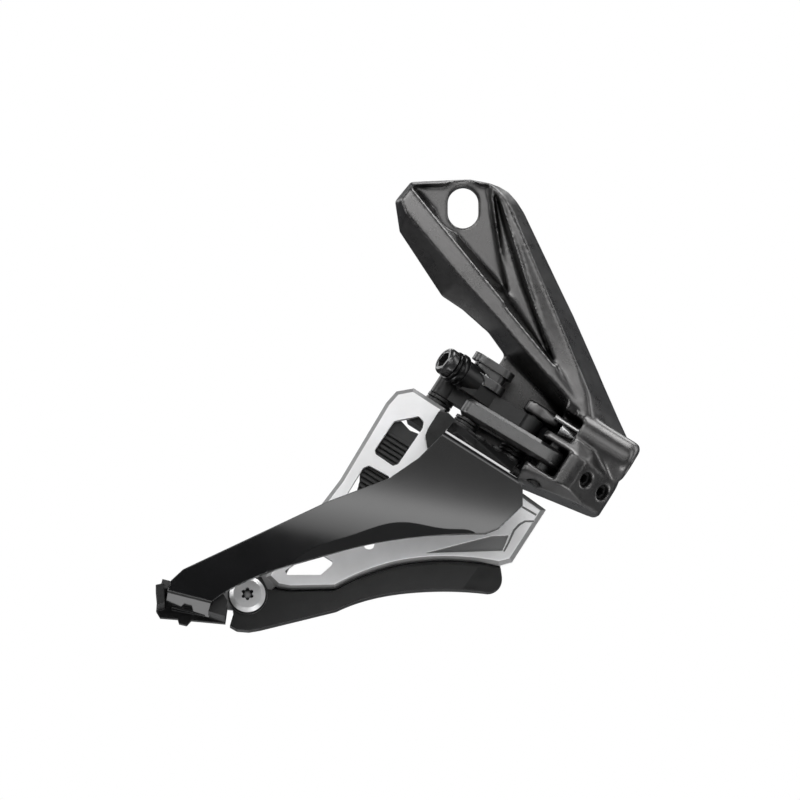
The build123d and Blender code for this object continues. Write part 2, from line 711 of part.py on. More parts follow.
def outer_plate_blank():
    """The flat outer plate between its top bend and its tail bend."""
    edges = [
        Polyline(*[(x, OUTER_PLATE_FACE, z) for x, z in OUTER_TOP]),
        Spline(*[(x, OUTER_PLATE_FACE, z) for x, z in OUTER_LOWER]),
        Polyline(*[(x, OUTER_PLATE_FACE, z) for x, z in OUTER_TAIL]),
        Polyline(*[(x, OUTER_PLATE_FACE, z) for x, z in OUTER_UPPER]),
    ]
    return extrude(make_face(edges), OUTER_PLATE_T, dir=Vector(0, 1, 0))


def bevel_cut():
    """The sliver taken off the outer plate's face between its crease and its lower edge."""
    sections = []
    front = OUTER_PLATE_FACE - 0.3
    for x, crease, edge in BEVEL:
        low = edge - 0.4
        top = (x, front, crease + 0.3 / BEVEL_SLOPE)
        deep = (x, OUTER_PLATE_FACE + BEVEL_SLOPE * (crease - low), low)
        sections.append(make_face(Polyline(top, (x, front, low), deep, close=True)))
    return loft(sections)


def bend_cut():
    """The corner taken off along the top bend, which leaves its outer radius."""
    start, middle, end = [(FLANGE_START - 1, y, v) for y, v in BEND_ARC]
    corner = [(FLANGE_START - 1, y, v) for y, v in BEND_CORNER]
    outline = make_face([ThreePointArc(start, middle, end), Polyline(end, *corner, start)])
    return tilted(extrude(outline, FLANGE_LENGTH + 4, dir=Vector(1, 0, 0)))


def outer_cage_plate():
    """The black outer plate with its top flange and its tail flange."""
    plate = outer_plate_blank()
    section = make_face(Polyline(*[(FLANGE_START, y, v) for y, v in FLANGE_SECTION], close=True))
    flange = extrude(section, FLANGE_LENGTH, dir=Vector(1, 0, 0))
    for u in FLANGE_RIVETS:
        flange = flange - post((u, RIVET_Y), RIVET_R, -50, -40)
    tail = tail_frame() * Box(TAIL_LENGTH, TAIL_DEPTH, TAIL_T)
    tab_back = INNER_PLATE_FACE + INNER_PLATE_T - TONGUE_T
    tab = side_slab(TAIL_TAB, tab_back, tab_back - TAB_T)
    tail = tail + tab - side_rod(TAIL_RIVET[0], TAIL_RIVET[1], RIVET_R, -10, -20)
    return plate - bevel_cut() + tilted(flange) + tail - bend_cut()


INNER_UPPER = [
    (-14.8, -42.4), (-10.9, -41.7), (-3.9, -46.3), (-7.2, -52.9), (13.0, -65.0), (18.4, -68.9),
    (10.9, -80.6), (8.0, -81.4),
]
INNER_LOWER = [(8.0, -81.4), (-4.4, -80.2), (-15.2, -81.4), (-24.2, -84.5), (-28.3, -86.6)]
INNER_REAR = [
    (-28.3, -86.6), (-38.4, -86.8), (-41.3, -86.3), (-43.8, -83.9), (-42.7, -81.8), (-38.0, -76.0),
    (-30.7, -66.7), (-27.3, -62.2), (-17.1, -45.0), (-14.8, -42.4),
]
UPPER_WINDOW = [
    (-15.3, -49.2), (-9.8, -48.1), (-8.7, -49.4), (-9.0, -50.8), (-14.4, -58.8), (-15.6, -59.2),
    (-19.4, -56.6), (-19.6, -55.7),
]
LOWER_WINDOW = [(-22.2, -59.7), (-20.9, -59.1), (-16.2, -61.7), (-21.0, -66.5), (-25.8, -65.6)]
PATCH = [(-8.4, -78.7), (6.2, -74.9), (10.2, -74.7), (8.8, -78.2)]
BAND_LINE = [
    (8.9, -78.3), (10.0, -76.1), (11.1, -73.5), (12.3, -72.2), (13.7, -71.4), (16.0, -71.4),
    (16.0, -71.8), (13.9, -71.8), (12.7, -72.5), (11.5, -73.8), (10.4, -76.3), (9.3, -78.4),
]
GAP_LINE = [(12.3, -67.6), (16.4, -70.0), (16.2, -70.4), (12.1, -68.0)]
SLIT_WINDOW = [
    (-39.6, -82.7), (-36.7, -80.6), (-31.3, -79.1), (-28.9, -80.6), (-29.2, -81.4), (-31.6, -83.6),
    (-39.1, -83.6),
]
TONGUE = [
    (-36.0, -77.0), (-44.0, -80.6), (-64.6, -86.2), (-65.6, -90.2), (-48.0, -91.6),
    (-44.0, -88.0), (-40.0, -84.6),
]
TONGUE_ROOM = [
    (-36.0, -76.8), (-44.0, -80.3), (-65.0, -86.0), (-66.0, -90.4), (-48.0, -91.9),
    (-43.7, -88.2), (-39.7, -84.8),
]


def inner_cage_plate():
    """The satin inner plate with its windows and the thin tongue to the tail."""
    y = INNER_PLATE_FACE
    edges = [
        Polyline(*[(x, y, z) for x, z in INNER_UPPER]),
        Spline(*[(x, y, z) for x, z in INNER_LOWER]),
        Polyline(*[(x, y, z) for x, z in INNER_REAR]),
    ]
    plate = extrude(make_face(edges), INNER_PLATE_T, dir=Vector(0, 1, 0))
    back = y + INNER_PLATE_T
    plate = chamfer(plate.faces().sort_by(Axis.Y)[0].edges(), INNER_CHAMFER)
    for window in (UPPER_WINDOW, LOWER_WINDOW, SLIT_WINDOW):
        plate = plate - rounded_slab(window, back + 1, y - 1, WINDOW_CORNER_R)
    plate = plate + side_slab(TONGUE, back, back - TONGUE_T)
    plate = plate - side_rod(SCREW_X, SCREW_Z, SCREW_R, back + 1, y)
    plate = plate - side_rod(TAIL_RIVET[0], TAIL_RIVET[1], RIVET_R, back + 1, y)
    plate = plate - side_rod(LIGHTENING_X, LIGHTENING_Z, LIGHTENING_R, back + 1, y - 1)
    for at in BRACKET_SCREWS:
        x, z = world_xz(at)
        plate = plate - side_rod(x, z, BRACKET_SCREW_R, back + 1, back - BRACKET_SCREW_GRIP - 0.1)
    for line in (PATCH, BAND_LINE, GAP_LINE):
        plate = plate - side_slab(line, y + RELIEF, y - 1)
    return plate


CHEEK = [
    (-5.3, -47.1), (-3.2, -47.6), (-1.6, -49.2), (8.0, -56.0), (4.0, -58.5), (-7.9, -55.6),
    (-8.4, -52.7), (-7.8, -51.1),
]
PLATFORM = [
    (24.0, -14.2), (25.4, -18.95), (42.3, -18.95), (42.3, -16.0), (34.0, -11.6), (27.0, -7.0),
    (24.0, -1.6), (15.6, -1.6), (15.2, -10.0), (15.2, -12.0), (24.0, -12.0),
]


WALL_PLAN = [(11.6, -12.0), (22.4, -12.0), (22.4, -9.8), (11.6, -9.8)]
WALL_TOP = -42.4
STEP_PLAN = [(16, -7.6), (22, -7.6), (22, -10), (16, -10)]
STEP_TOP = -44.5


def cage_bracket():
    """The black carrier between the plates, with the bosses of the two rear pins."""
    body = plan_slab(PLATFORM, BRACKET_LOW, BRACKET_HIGH)
    body = body + plan_slab(WALL_PLAN, BRACKET_LOW, WALL_TOP)
    body = body + plan_slab(STEP_PLAN, BRACKET_LOW, STEP_TOP)
    body = body + post(REAR_OUTER, OUTER_BOSS_R, BRACKET_LOW, OUTER_BOSS_TOP)
    body = body + post(REAR_INNER, INNER_BOSS_R, BRACKET_LOW, INNER_BOSS_TOP)
    cheek_back = INNER_PLATE_FACE
    cheek = rounded_slab(CHEEK, cheek_back, cheek_back - CHEEK_T, CHEEK_CORNER_R)
    body = tilted(body) + cheek
    body = body - tilted(post(REAR_OUTER, PIN_R, BRACKET_LOW, -30))
    body = body - tilted(post(REAR_INNER, PIN_R, BRACKET_LOW, -30))
    body = body - tilted(post(REAR_OUTER, OUTER_BOSS_R + 0.1, OUTER_BOSS_TOP, -30))
    for u in FLANGE_RIVETS:
        body = body - tilted(post((u, RIVET_Y), RIVET_R, -50, -40))
    for at in BRACKET_SCREWS:
        x, z = world_xz(at)
        body = body - side_rod(x, z, BRACKET_SCREW_R, -9, -13)
        body = body - side_rod(x, z, BRACKET_HEAD_R + 0.2, -5, BRACKET_HEAD_SEAT)
    return body


def flange_rivets():
    """The rivets that hold the outer plate's flange to the bracket."""
    rivets = []
    for u in FLANGE_RIVETS:
        at = (u, RIVET_Y)
        stem = post(at, RIVET_R, BRACKET_LOW, FLANGE_TOP)
        upper = post(at, RIVET_HEAD_R, FLANGE_TOP, FLANGE_TOP + RIVET_HEAD_T)
        lower = post(at, RIVET_HEAD_R, BRACKET_LOW - RIVET_HEAD_T, BRACKET_LOW)
        rivets.append(stem + upper + lower)
    return tilted(Compound(rivets))


def bracket_screws():
    """The screws that hold the inner plate to the bracket, put in from behind."""
    screws = []
    back = INNER_PLATE_FACE + INNER_PLATE_T
    for at in BRACKET_SCREWS:
        x, z = world_xz(at)
        stem = side_rod(x, z, BRACKET_SCREW_R, BRACKET_HEAD_SEAT, back - BRACKET_SCREW_GRIP)
        head = side_rod(x, z, BRACKET_HEAD_R, BRACKET_HEAD_SEAT + BRACKET_HEAD_T, BRACKET_HEAD_SEAT)
        top = Plane(origin=(x, BRACKET_HEAD_SEAT + BRACKET_HEAD_T, z), z_dir=FRONT)
        screws.append(stem + head - top * extrude(hexagon(BRACKET_KEY), BRACKET_KEY_DEPTH))
    return Compound(screws)


def tail_rivet():
    """The rivet that joins the tail flange and the inner plate's tongue."""
    x, z = TAIL_RIVET
    back = INNER_PLATE_FACE + INNER_PLATE_T
    front = back - TONGUE_T - TAB_T
    stem = side_rod(x, z, RIVET_R, back, front)
    back_head = side_rod(x, z, RIVET_HEAD_R, back + RIVET_HEAD_T, back)
    front_head = side_rod(x, z, RIVET_HEAD_R, front, front - RIVET_HEAD_T)
    return stem + back_head + front_head


SKID_BOTTOM = [
    (-28.2, -91.4), (-19.3, -88.3), (-9.8, -87.0), (-0.4, -86.9), (5.4, -87.4),
]
SKID_TIP = [(5.4, -87.4), (8.0, -86.1), (8.6, -83.4)]
SKID_TOP = [
    (8.6, -83.4), (8.2, -80.8), (-4.4, -78.8), (-15.2, -80.0), (-24.4, -83.2),
    (-29.0, -85.2), (-42.0, -85.2), (-44.4, -83.6), (-51.8, -87.0), (-51.0, -92.2), (-51.8, -94.9),
    (-50.2, -95.8), (-47.6, -96.0), (-45.2, -95.6), (-28.2, -91.4),
]
SKID_SHELF = [
    (8.2, -82.0), (-4.4, -80.9), (-15.4, -82.1), (-24.6, -85.2), (-28.6, -87.3), (-38.6, -87.5),
    (-43.4, -86.8), (-44.8, -84.0), (-60.0, -84.0), (-60.0, -60.0), (20.0, -60.0), (20.0, -82.0),
]


def skid_facet():
    """The corner taken off the fin's face at its front tip."""
    swept = Rot(0, SKID_FACET_ROLL, 0) * Rot(0, 0, SKID_FACET_SWEEP)
    corner = Pos(WEDGE / 2, -WEDGE / 2, 0) * Box(WEDGE, WEDGE, WEDGE)
    return Pos(SKID_FACET_X, INNER_PLATE_FACE, SKID_FACET_Z) * swept * corner


def chain_skid():
    """The black resin fin below the inner plate, with the boss of its screw."""
    y = INNER_PLATE_FACE
    back = y + INNER_PLATE_T
    outline = make_face([
        Spline(*[(x, back + SKID_BACK, z) for x, z in SKID_BOTTOM]),
        ThreePointArc(*[(x, back + SKID_BACK, z) for x, z in SKID_TIP]),
        Polyline(*[(x, back + SKID_BACK, z) for x, z in SKID_TOP]),
    ])
    fin = extrude(outline, SKID_BACK - y + back, dir=FRONT)
    fin = fin - side_slab(SKID_SHELF, back, y - 1) - skid_facet()
    boss = side_rod(SCREW_X, SCREW_Z, SKID_BOSS_R, back + SKID_BACK, SKID_BOSS_FRONT)
    fin = fin + boss
    tongue_room = side_slab(TONGUE_ROOM, back + 0.05, back - TONGUE_T - 0.05)
    fin = fin - tongue_room - side_rod(SCREW_X, SCREW_Z, SCREW_R, back + 3, y - 3)
    return fin


def skid_screw():
    """The star-socket screw that holds the skid and the tongue."""
    head_front = SKID_BOSS_FRONT - SCREW_HEAD_T
    shank = side_rod(SCREW_X, SCREW_Z, SCREW_R, SCREW_END, SKID_BOSS_FRONT)
    head = side_rod(SCREW_X, SCREW_Z, SCREW_HEAD_R, SKID_BOSS_FRONT, head_front)
    head = chamfer(head.edges().sort_by(Axis.Y)[0], SCREW_HEAD_CHAMFER)
    top = Plane(origin=(SCREW_X, head_front, SCREW_Z), z_dir=(0, 1, 0))
    star = Circle(STAR_R)
    for i in range(6):
        star = star + Rot(0, 0, 60 * i) * Pos(STAR_R, 0) * Circle(STAR_LOBE_R)
    return shank + head - top * extrude(star, STAR_DEPTH)


TAIL_WALL = [
    (-66.2, -88.0), (-68.0, -88.6), (-68.2, -91.4), (-67.3, -92.9), (-63.4, -93.2), (-63.1, -94.2),
    (-61.4, -94.6), (-60.4, -93.5), (-57.0, -93.8), (-52.8, -94.2), (-52.3, -90.6), (-53.8, -88.0),
]
TAIL_LIP = [(-68.3, -87.0), (-66.5, -86.6), (-66.3, -91.0), (-67.9, -91.4)]
TAIL_HEEL = [(-55.6, -89.6), (-53.6, -88.5), (-52.3, -90.6), (-52.9, -94.0), (-56.6, -92.9)]


TAB_ROOM = [(-66.2, -93.6), (-65.4, -86.0), (-57.6, -85.4), (-56.4, -93.6)]


def tail_block():
    """The resin block that lines the tail flange."""
    back = INNER_PLATE_FACE + INNER_PLATE_T
    far = back + TAIL_WALL_T
    lining = tail_frame() * Pos(-0.2, 1.4, 1.8) * Box(13.4, 8.6, 2.0)
    wall = side_slab(TAIL_WALL, far, back)
    lip = side_slab(TAIL_LIP, far, TAIL_FRONT)
    heel = side_slab(TAIL_HEEL, far, TAIL_FRONT)
    block = lining + wall + lip + heel
    block = block - side_slab(TONGUE_ROOM, back + 0.05, back - TONGUE_T - 0.05)
    tab_room = side_slab(TAB_ROOM, back - TONGUE_T + 0.1, back - TONGUE_T - TAB_T - 0.2)
    flange_room = tail_frame() * Box(TAIL_LENGTH + 0.2, TAIL_DEPTH + 0.4, TAIL_T + 0.02)
    head_room = side_rod(TAIL_RIVET[0], TAIL_RIVET[1], 1.6, back + 3, back - 5)
    return block - tab_room - flange_room - head_room


PAD = [
    (-22.8, -56.0), (-16.6, -48.2), (-13.6, -49.0), (-11.8, -51.0), (-8.2, -52.4), (-8.2, -54.0),
    (-15.0, -66.8), (-24.4, -67.8), (-23.0, -62.4),
]


def ribbed_pad():
    """The resin pad on the back of the inner plate, ribbed where the windows show it."""
    back = INNER_PLATE_FACE + INNER_PLATE_T
    pad = side_slab(PAD, back + PAD_BACK, back)
    strips = []
    count = math.floor((PAD_RIB_HIGH - PAD_RIB_LOW) / PAD_RIB_PITCH)
    for i in range(count):
        v = PAD_RIB_LOW + i * PAD_RIB_PITCH
        strips.append(Pos(16, back - RIB_HEIGHT / 2, v) * Box(30, RIB_HEIGHT, RIB_WIDTH))
    ribs = tilted(Compound(strips))
    for window in (UPPER_WINDOW, LOWER_WINDOW):
        opening = offset(side_face(window, back), -WINDOW_GAP)
        shown = extrude(opening, RIB_HEIGHT, dir=FRONT) & side_slab(PAD, back, back - RIB_HEIGHT)
        pad = pad + (ribs & shown)
    return pad


BUILDERS = {
    "mount_arm": mount_arm,
    "low_limit_screw": lambda: limit_screw(LIMIT_A, LOW_LIMIT_LENGTH),
    "high_limit_screw": lambda: limit_screw(LIMIT_B, HIGH_LIMIT_LENGTH),
    "outer_link": outer_link,
    "outer_link_bushes": outer_link_bushes,
    "inner_link": inner_link,
    "inner_link_bushes": inner_link_bushes,
    "cable_cam": cable_cam,
    "cable_clamp_bolt": cable_clamp_bolt,
    "cable_clamp_washer": cable_clamp_washer,
    "front_outer_pin": front_outer_pin,
    "front_inner_pin": front_inner_pin,
    "rear_outer_pin": rear_outer_pin,
    "rear_inner_pin": rear_inner_pin,
    "pivot_washers": pivot_washers,
    "return_spring": return_spring,
    "cable_guide_tube": cable_guide_tube,
    "guide_screw": guide_screw,
    "outer_cage_plate": outer_cage_plate,
    "inner_cage_plate": inner_cage_plate,
    "cage_bracket": cage_bracket,
    "flange_rivets": flange_rivets,
    "bracket_screws": bracket_screws,
    "tail_rivet": tail_rivet,
    "chain_skid": chain_skid,
    "skid_screw": skid_screw,
    "tail_block": tail_block,
    "ribbed_pad": ribbed_pad,
}

os.makedirs("parts", exist_ok=True)
for name, builder in BUILDERS.items():
    export_step(builder(), f"parts/{name}.step")
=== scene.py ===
import math

import bmesh
import bpy
from mathutils import Matrix, Vector


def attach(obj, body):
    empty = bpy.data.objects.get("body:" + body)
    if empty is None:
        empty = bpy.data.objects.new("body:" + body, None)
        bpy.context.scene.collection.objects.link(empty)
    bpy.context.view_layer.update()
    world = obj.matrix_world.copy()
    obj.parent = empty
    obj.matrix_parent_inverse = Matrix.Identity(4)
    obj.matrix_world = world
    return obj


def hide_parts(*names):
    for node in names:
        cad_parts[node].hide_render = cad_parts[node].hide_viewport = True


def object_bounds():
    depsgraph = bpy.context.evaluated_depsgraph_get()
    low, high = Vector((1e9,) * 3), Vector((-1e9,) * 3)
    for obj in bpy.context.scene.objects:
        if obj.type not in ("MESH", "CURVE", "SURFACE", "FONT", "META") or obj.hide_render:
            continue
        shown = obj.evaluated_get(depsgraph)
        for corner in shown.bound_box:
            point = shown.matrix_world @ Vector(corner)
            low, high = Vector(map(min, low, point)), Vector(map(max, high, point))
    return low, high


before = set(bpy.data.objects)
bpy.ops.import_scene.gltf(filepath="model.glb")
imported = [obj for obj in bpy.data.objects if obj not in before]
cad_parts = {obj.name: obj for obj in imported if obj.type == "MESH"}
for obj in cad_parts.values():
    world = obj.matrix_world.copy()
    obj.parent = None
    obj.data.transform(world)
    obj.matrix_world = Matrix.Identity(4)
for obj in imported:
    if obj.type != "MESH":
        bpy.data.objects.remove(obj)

MM = 0.001
scene = bpy.context.scene
cad_low, cad_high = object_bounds()

# The linkage frame of the CAD model: u along the links, v along the pivot pins.
LINK_TILT = math.radians(32.5)
TILT = Matrix.Rotation(LINK_TILT, 4, "Y")


def from_linkage(u, y, v):
    """A point given in millimetres in the linkage frame, in the row frame in metres."""
    return TILT @ Vector((u * MM, y * MM, v * MM))


# dimensions of the CAD part that pieces and materials here follow, in millimetres
SLOT_WIDTH = 6.8
SLOT_LENGTH = 9.2
BARREL_MOUTH = (63.3, -13.5, -29.6)
LIMIT_HOLES = ((57.1, -19.5), (61.4, -14.7))
LIMIT_V = -38.4
LIMIT_NORMAL = (0.742, -0.670)
PLATE_FACE_Y = -14.2
# each pin's bore: its (u, y), and the v where it begins and ends
PIN_BORES = (((47.3, -18.0), -45.6, -33.6), ((39.0, -9.0), -46.3, -28.8))


# ---------------------------------------------------------------- materials

NORMAL_SAMPLES = 4
HOLLOW_SAMPLES = 8
# the edge mask rises between these values of one minus the cosine of the bend
EDGE_BEND_FROM = 0.01
EDGE_BEND_TO = 0.25
# the scale of brushed lines along their own direction, against 1 across it
LINE_STRETCH = 0.06


class Tree:
    """A material's node tree with a Principled shader."""

    def __init__(self, name):
        self.material = bpy.data.materials.new(name)
        self.material.use_nodes = True
        self.tree = self.material.node_tree
        self.tree.nodes.clear()
        self.shader = self.tree.nodes.new("ShaderNodeBsdfPrincipled")
        output = self.tree.nodes.new("ShaderNodeOutputMaterial")
        self.tree.links.new(self.shader.outputs["BSDF"], output.inputs["Surface"])
        self.place = self.tree.nodes.new("ShaderNodeTexCoord").outputs["Object"]

    def set(self, node, socket, value):
        """Set one input to a number or a colour, or link it to an output."""
        target = node.inputs[socket]
        if isinstance(value, bpy.types.NodeSocket):
            self.tree.links.new(value, target)
        else:
            target.default_value = value

    def add(self, kind, inputs, **settings):
        """Add a node, set its properties and inputs, and return it."""
        node = self.tree.nodes.new(kind)
        for key, value in settings.items():
            setattr(node, key, value)
        for socket, value in inputs.items():
            self.set(node, socket, value)
        return node

    def shade(self, **inputs):
        """Set inputs of the Principled shader; underscores stand for spaces."""
        for key, value in inputs.items():
            self.set(self.shader, key.replace("_", " "), value)

    def stretched(self, scale, turn=0.0):
        """The object coordinates in metres, turned about Y and then scaled."""
        turned = self.add("ShaderNodeMapping", {"Vector": self.place, "Rotation": (0, turn, 0)})
        mapping = self.add("ShaderNodeMapping", {"Vector": turned.outputs["Vector"], "Scale": scale})
        return mapping.outputs["Vector"]

    def noise(self, size_mm, detail=3.0, roughness=0.55, place=None):
        """Noise whose features are about size_mm across, from 0 to 1."""
        inputs = {
            "Vector": place or self.place,
            "Scale": 1.0 / (size_mm * MM),
            "Detail": detail,
            "Roughness": roughness,
        }
        return self.add("ShaderNodeTexNoise", inputs).outputs["Fac"]

    def math(self, operation, a, b):
        """One arithmetic node."""
        return self.add("ShaderNodeMath", {0: a, 1: b}, operation=operation).outputs["Value"]

    def spread(self, value, low, high, to_low=0.0, to_high=1.0):
        """Map a value from one range to another, held at its ends."""
        inputs = {
            "Value": value, "From Min": low, "From Max": high, "To Min": to_low, "To Max": to_high,
        }
        return self.add("ShaderNodeMapRange", inputs).outputs["Result"]

    def mix(self, amount, a, b):
        """Mix two colours."""
        node = self.add("ShaderNodeMix", {}, data_type="RGBA")
        self.set(node, "Factor", amount)
        self.set(node, 6, a)
        self.set(node, 7, b)
        return node.outputs[2]

    def rounded_normal(self, radius_mm):
        """The surface normal as it would be with rounded edges."""
        node = self.add("ShaderNodeBevel", {"Radius": radius_mm * MM}, samples=NORMAL_SAMPLES)
        return node.outputs["Normal"]

    def edges(self, radius_mm):
        """A mask that is 1 on sharp edges and 0 on open faces."""
        rounded = self.rounded_normal(radius_mm)
        plain = self.add("ShaderNodeNewGeometry", {}).outputs["Normal"]
        dot = self.add("ShaderNodeVectorMath", {0: rounded, 1: plain}, operation="DOT_PRODUCT")
        bent = self.math("SUBTRACT", 1.0, dot.outputs["Value"])
        return self.spread(bent, EDGE_BEND_FROM, EDGE_BEND_TO)

    def worn_edges(self, radius_mm, patch_mm, low, high, least, most):
        """The edge mask, broken up by noise into patches whose strength runs from least to most."""
        mask = self.edges(radius_mm)
        return self.math("MULTIPLY", mask, self.spread(self.noise(patch_mm), low, high, least, most))

    def occlusion_for_painted_shade(self, reach_mm):
        """Ambient occlusion for painting shade into colour: 1 on open surfaces and towards 0 in hollows
        within reach_mm.
        """
        inputs = {"Distance": reach_mm * MM}
        return self.add("ShaderNodeAmbientOcclusion", inputs, samples=HOLLOW_SAMPLES).outputs["AO"]

    def bump(self, height, depth_mm, strength, edge_mm=0.0):
        """A bump normal, on top of rounded edges where edge_mm is given."""
        inputs = {"Height": height, "Distance": depth_mm * MM, "Strength": strength}
        if edge_mm > 0:
            inputs["Normal"] = self.rounded_normal(edge_mm)
        return self.add("ShaderNodeBump", inputs).outputs["Normal"]


def rgb(level, tint=(1.0, 1.0, 1.0)):
    """A grey of the given linear level, with a slight tint."""
    return (level * tint[0], level * tint[1], level * tint[2], 1.0)


def blasted_metal(name, dark, light, metallic, roughness, edge, wear, tint=(1, 1, 1), painted_shade_mm=0.0):
    """Bead-blasted and anodised metal: soft mottling, fine grain, rubbed edges and, where painted_shade_mm
    is given, painted shade in hollows.
    """
    t = Tree(name)
    clouds = t.noise(7.0, detail=4.0)
    patches = t.noise(1.6)
    specks = t.noise(0.3, detail=2.0, roughness=0.6)
    blend = t.math("ADD", t.math("MULTIPLY", clouds, 0.6), t.math("MULTIPLY", patches, 0.4))
    body = t.mix(t.spread(blend, 0.3, 0.7), rgb(dark, tint), rgb(light, tint))
    sparkle = t.spread(specks, 0.56, 0.72, 0.0, 0.15)
    body = t.mix(sparkle, body, rgb(min(1.0, light * 1.8), tint))
    rubbed = t.math("MULTIPLY", t.worn_edges(edge, 2.2, 0.3, 0.62, least=0.35, most=1.0), wear)
    # painted shade: the colour darkens in hollows and recesses, where shade falls
    if painted_shade_mm > 0:
        body = t.mix(t.spread(t.occlusion_for_painted_shade(painted_shade_mm), 0.2, 0.62), rgb(dark * 0.12, tint), body)
    t.shade(
        Base_Color=t.mix(rubbed, body, rgb(min(0.85, light * 2.2 + 0.12), tint)),
        Metallic=metallic,
        Roughness=t.spread(blend, 0.3, 0.7, roughness - 0.05, roughness + 0.06),
        Normal=t.bump(specks, 0.006, 0.5, edge_mm=edge),
    )
    return t.material


def brushed_metal(name, dark, light, metallic, roughness, edge, along, tint=(1, 1, 1)):
    """Turned or drawn steel: fine lines along one direction over soft mottling."""
    t = Tree(name)
    scale = tuple(LINE_STRETCH if axis == along else 1.0 for axis in "XYZ")
    lines = t.noise(0.16, detail=2.0, roughness=0.6, place=t.stretched(scale))
    clouds = t.noise(3.0)
    body = t.mix(t.spread(lines, 0.3, 0.7), rgb(dark, tint), rgb(light, tint))
    body = t.mix(t.spread(clouds, 0.45, 0.75, 0.0, 0.5), body, rgb(dark * 0.8, tint))
    rubbed = t.math("MULTIPLY", t.edges(edge), 0.5)
    t.shade(
        Base_Color=t.mix(rubbed, body, rgb(min(0.9, light * 1.5), tint)),
        Metallic=metallic,
        Roughness=t.spread(lines, 0.3, 0.7, roughness - 0.05, roughness + 0.08),
        Normal=t.bump(lines, 0.012, 0.5, edge_mm=edge),
    )
    return t.material


def painted_plate(name):
    """The outer plate's black finish: smooth, half gloss, with faint orange peel and dust."""
    t = Tree(name)
    peel = t.noise(0.9, detail=2.0)
    clouds = t.noise(14.0, detail=4.0)
    specks = t.noise(0.22, detail=1.0)
    body = t.mix(t.spread(clouds, 0.35, 0.7), rgb(0.004), rgb(0.007, (1.0, 1.0, 1.04)))
    dust = t.spread(specks, 0.68, 0.8, 0.0, 0.05)
    body = t.mix(dust, body, rgb(0.12))
    scuffs = t.noise(0.3, roughness=0.6, place=t.stretched((0.05, 1.0, 1.0), math.radians(24)))
    scuffed = t.math("MULTIPLY", t.spread(scuffs, 0.62, 0.75), t.spread(t.noise(9.0), 0.5, 0.7))
    rubbed = t.worn_edges(0.22, 1.8, 0.35, 0.6, least=0.2, most=1.0)
    gloss = t.spread(clouds, 0.3, 0.7, 0.065, 0.085)
    t.shade(
        Base_Color=t.mix(t.math("MULTIPLY", rubbed, 0.35), body, rgb(0.25)),
        Metallic=0.0,
        Roughness=t.math("ADD", gloss, t.math("MULTIPLY", scuffed, 0.06)),
        Normal=t.bump(peel, 0.0006, 0.4, edge_mm=0.3),
        Specular_IOR_Level=0.8,
    )
    return t.material


def moulded_resin(name, level, roughness):
    """Glass-filled black resin: leathery grain, faint flow marks and paler scuffed edges."""
    t = Tree(name)
    cells = t.noise(0.25, detail=2.0, roughness=0.6)
    clouds = t.noise(4.0)
    flow_place = t.stretched((0.25, 1.0, 1.0), math.radians(15))
    flow = t.noise(1.4, detail=2.0, roughness=0.5, place=flow_place)
    body = t.mix(t.spread(clouds, 0.35, 0.7), rgb(level * 0.75), rgb(level * 1.3))
    body = t.mix(t.spread(cells, 0.6, 0.75, 0.0, 0.25), body, rgb(level * 5.0))
    rubbed = t.worn_edges(0.25, 1.5, 0.35, 0.6, least=0.1, most=0.5)
    bumps = t.math("ADD", t.math("MULTIPLY", cells, 0.7), t.math("MULTIPLY", flow, 0.3))
    t.shade(
        Base_Color=t.mix(rubbed, body, rgb(level * 7.0)),
        Metallic=0.0,
        Roughness=t.spread(flow, 0.3, 0.7, roughness - 0.06, roughness + 0.08),
        Normal=t.bump(bumps, 0.03, 0.7, edge_mm=0.3),
    )
    return t.material


def turned_screw(name):
    """The skid screw's head: satin steel with a fine grain and painted shade darkening its socket."""
    t = Tree(name)
    grain = t.noise(0.35, detail=2.0, roughness=0.5)
    clouds = t.noise(2.5)
    body = t.mix(t.spread(clouds, 0.35, 0.7), rgb(0.68), rgb(0.78))
    # painted shade: the socket's hollow darkens to near black
    body = t.mix(t.spread(t.occlusion_for_painted_shade(0.9), 0.7, 0.99), rgb(0.01), body)
    t.shade(
        Base_Color=t.mix(t.math("MULTIPLY", t.edges(0.15), 0.5), body, rgb(0.8)),
        Metallic=0.6,
        Roughness=t.spread(grain, 0.3, 0.7, 0.36, 0.44),
        Normal=t.bump(grain, 0.004, 0.5, edge_mm=0.12),
    )
    return t.material


def blackened_steel(name, level):
    """Blackened and oiled steel: soft clouds, a smooth half gloss and faintly rubbed edges."""
    t = Tree(name)
    clouds = t.noise(2.5)
    fine = t.noise(0.8, detail=2.0)
    body = t.mix(t.spread(clouds, 0.3, 0.7), rgb(level * 0.7), rgb(level * 1.3))
    t.shade(
        Base_Color=t.mix(t.math("MULTIPLY", t.edges(0.12), 0.25), body, rgb(0.2)),
        Metallic=0.75,
        Roughness=t.spread(fine, 0.3, 0.7, 0.19, 0.27),
        Normal=t.bump(fine, 0.002, 0.4),
    )
    return t.material


RECESS_FROM = PLATE_FACE_Y + 0.06
RECESS_TO = RECESS_FROM + 0.12
PLATE_BACK_FROM = PLATE_FACE_Y + 1.0
PLATE_BACK_TO = PLATE_FACE_Y + 1.1


